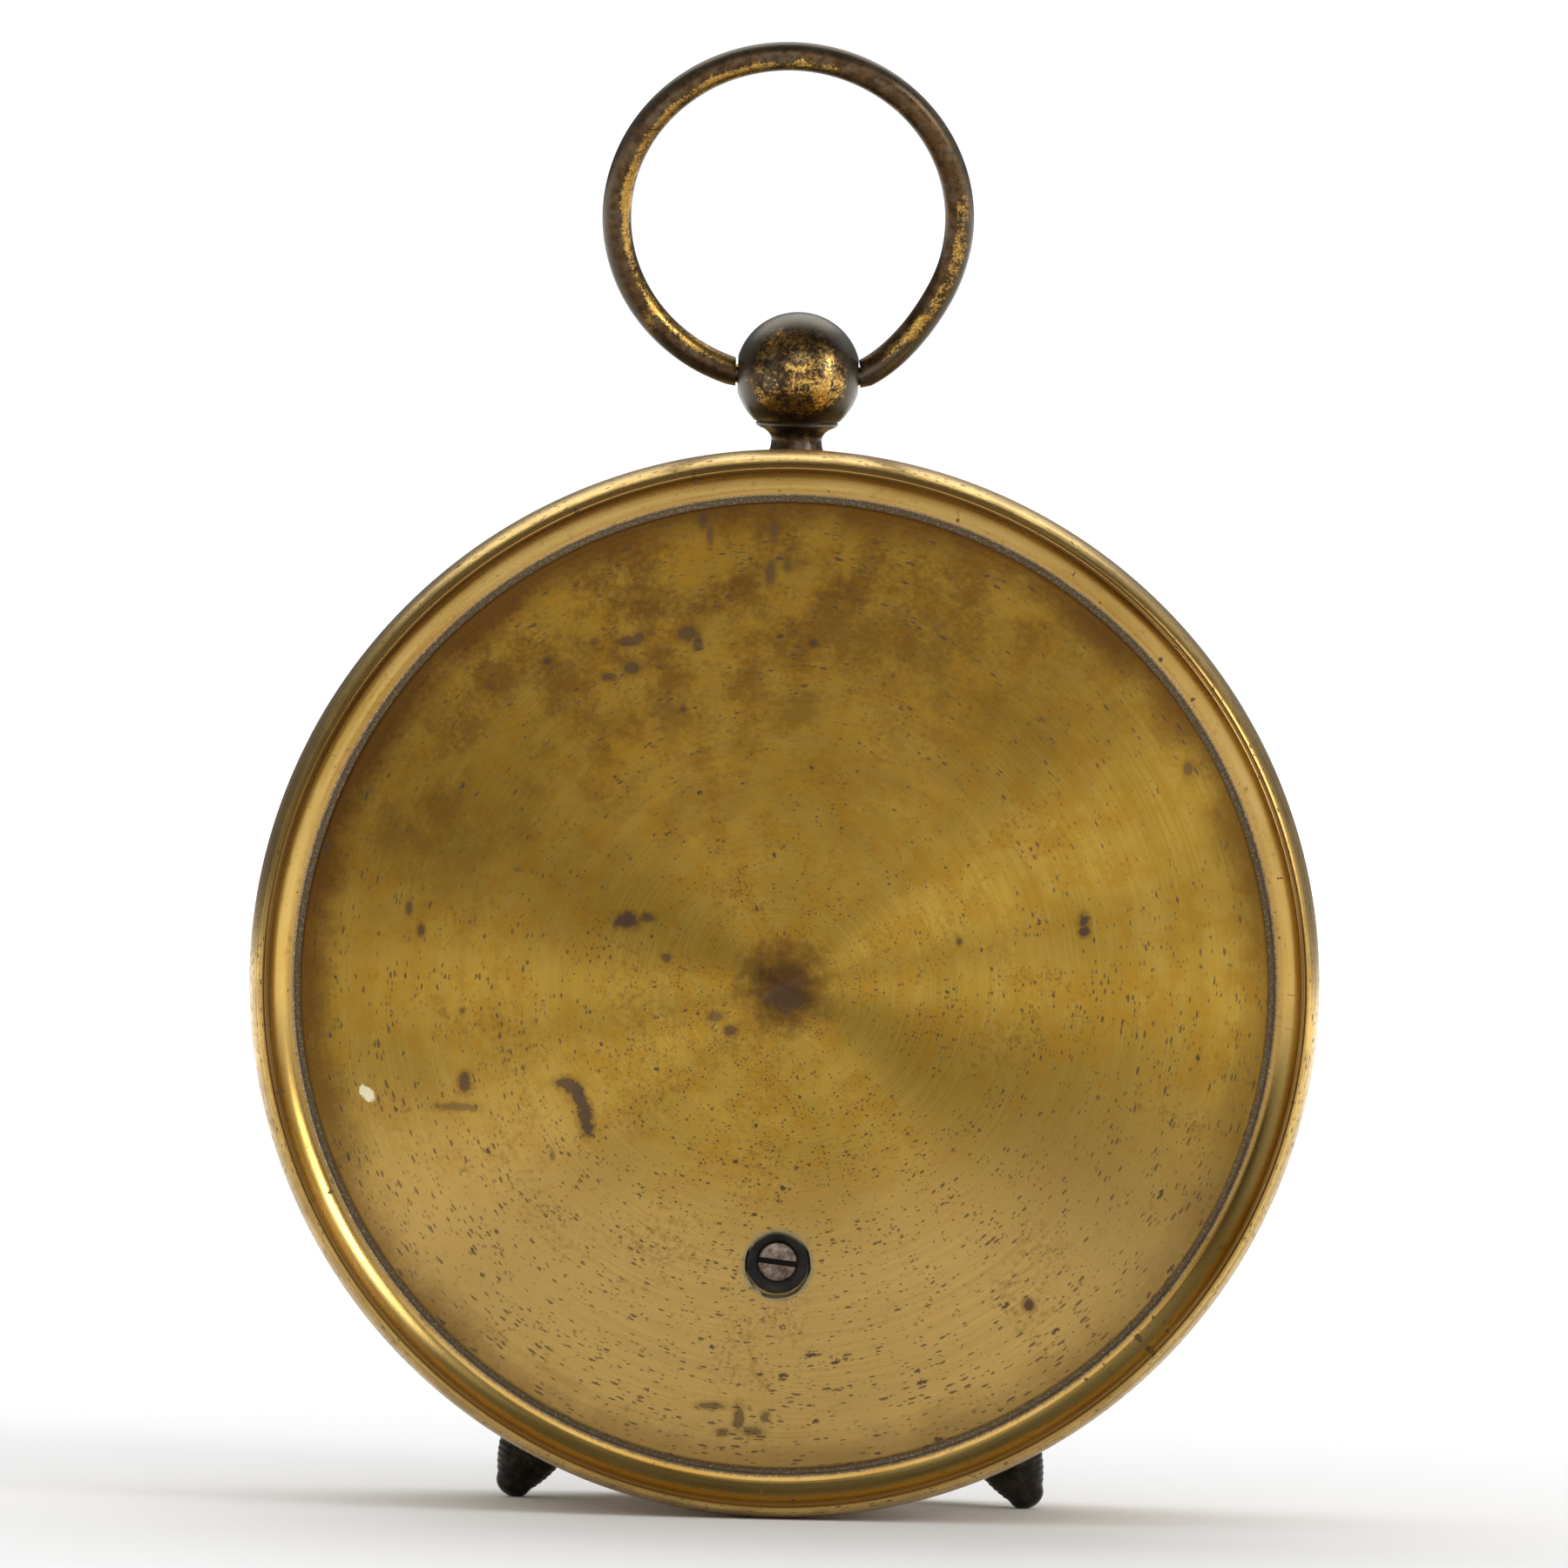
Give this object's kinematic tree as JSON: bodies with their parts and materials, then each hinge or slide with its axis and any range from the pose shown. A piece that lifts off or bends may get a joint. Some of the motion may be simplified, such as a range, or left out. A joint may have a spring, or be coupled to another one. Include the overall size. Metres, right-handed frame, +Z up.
{
  "type": "aneroid barometer",
  "caption": "Round brass drum instrument with a carrying ring on a ball pendant, a glazed dial in front, a recessed turned back with an adjusting hole, standing on its rim and knurled feet.",
  "frame": {"origin": "floor under the middle of the bounding box", "axes": "+Z up, +X to the right seen from the dial, the dial faces -Y and leans back a little, the turned back plate faces +Y"},
  "size_m": [0.12, 0.0524, 0.1655],
  "materials": {
    "aged_brass": "aged, lightly polished",
    "turned_brass": "fine concentric turning",
    "dark_bronze": "dark patina, rubbed through",
    "black_bronze": "black patina",
    "nickel": "nickel plated",
    "steel": "fine ground",
    "blued_steel": "blued",
    "cast_iron": "japanned",
    "silvered_dial": "silvered",
    "glass": "clear, bevelled edge"
  },
  "bodies": {
    "case": {"case_drum": "aged_brass", "back_plate": "turned_brass", "pendant": "dark_bronze", "pendant_nut": "nickel", "foot_left": "black_bronze", "foot_right": "black_bronze", "foot_nut_left": "nickel", "foot_nut_right": "nickel", "base_plate": "turned_brass", "base_screw_1": "steel", "base_screw_2": "steel", "base_screw_3": "steel", "capsule": "nickel", "capsule_nut": "steel", "adjuster_bush": "turned_brass", "spring_yoke": "cast_iron", "pivot_screw_left": "steel", "pivot_screw_right": "steel", "spring_screw_left": "steel", "spring_screw_right": "steel", "rocker_post_left": "turned_brass", "rocker_post_right": "turned_brass", "bridge_lower": "turned_brass", "bridge_upper": "turned_brass", "bridge_pillar_left": "turned_brass", "bridge_pillar_right": "turned_brass", "bridge_post_left": "turned_brass", "bridge_post_right": "turned_brass", "hairspring": "blued_steel", "hairspring_stud": "turned_brass", "dial_pillar_1": "turned_brass", "dial_pillar_2": "turned_brass", "dial_pillar_3": "turned_brass", "dial": "silvered_dial", "dial_screw_1": "blued_steel", "dial_screw_2": "blued_steel", "dial_screw_3": "blued_steel", "sight_ring": "aged_brass"},
    "ring": {"carrying_ring": "dark_bronze"},
    "adjuster": {"adjusting_screw": "steel"},
    "capsule_top": {"capsule_post": "steel"},
    "lever": {"main_spring": "blued_steel", "main_lever": "steel", "knife_edge": "steel", "lever_screw": "steel"},
    "link": {"link_rod": "steel"},
    "rocker": {"rocking_shaft": "steel"},
    "chain_run": {"chain": "steel"},
    "indicator": {"arbor": "steel", "pointer": "blued_steel"},
    "bezel_group": {"bezel": "aged_brass", "glass": "glass", "glass_retainer": "aged_brass"},
    "set_group": {"set_hand": "turned_brass", "set_spindle": "turned_brass", "set_knob": "aged_brass"}
  },
  "joints": [
    {"name": "ring_swing", "type": "hinge", "parent": "case", "child": "ring", "pos_m": [0, 0.00262, 0.12842], "axis": [1, 0, 0], "range_deg": [-92, 115]},
    {"name": "adjuster_turn", "type": "hinge", "parent": "case", "child": "adjuster", "pos_m": [0, 0.01523, 0.02875], "axis": [0, -0.9992, 0.0391], "range_deg": [-360, 360]},
    {"name": "pointer_turn", "type": "hinge", "parent": "case", "child": "indicator", "pos_m": [0, -0.00303, 0.06079], "axis": [0, -0.9992, 0.0391], "range_deg": [-122, 122], "stiffness_Nm_per_rad": 0.0006},
    {"name": "rocker_turn", "type": "hinge", "parent": "case", "child": "rocker", "pos_m": [0, 0.00837, 0.09637], "axis": [1, 0, 0], "range_deg": [-9.9, 9.9]},
    {"name": "chain_slide", "type": "slide", "parent": "case", "child": "chain_run", "axis": [0, 0.0391, 0.9992], "range_m": [-0.0028, 0.0028]},
    {"name": "link_slide", "type": "slide", "parent": "case", "child": "link", "axis": [0, -0.9992, 0.0391], "range_m": [-0.0007, 0.0007]},
    {"name": "lever_swing", "type": "hinge", "parent": "case", "child": "lever", "pos_m": [0, 0.0042, 0.02048], "axis": [1, 0, 0], "range_deg": [-0.4875, 0.4875]},
    {"name": "capsule_stroke", "type": "slide", "parent": "case", "child": "capsule_top", "axis": [0, -0.9992, 0.0391], "range_m": [-0.00035, 0.00035]},
    {"name": "bezel_pull", "type": "slide", "parent": "case", "child": "bezel_group", "axis": [0, -0.9992, 0.0391], "range_m": [0, 0.02]},
    {"name": "set_hand_turn", "type": "hinge", "parent": "bezel_group", "child": "set_group", "pos_m": [0, -0.01902, 0.06142], "axis": [0, -0.9992, 0.0391], "continuous": true}
  ],
  "couplings": [
    {"joint": "pointer_turn", "follows": "lever_swing", "ratio": 246.15},
    {"joint": "rocker_turn", "follows": "lever_swing", "ratio": 20},
    {"joint": "chain_slide", "follows": "lever_swing", "m_per_rad": -0.32},
    {"joint": "link_slide", "follows": "lever_swing", "m_per_rad": 0.08},
    {"joint": "capsule_stroke", "follows": "lever_swing", "m_per_rad": 0.04}
  ]
}
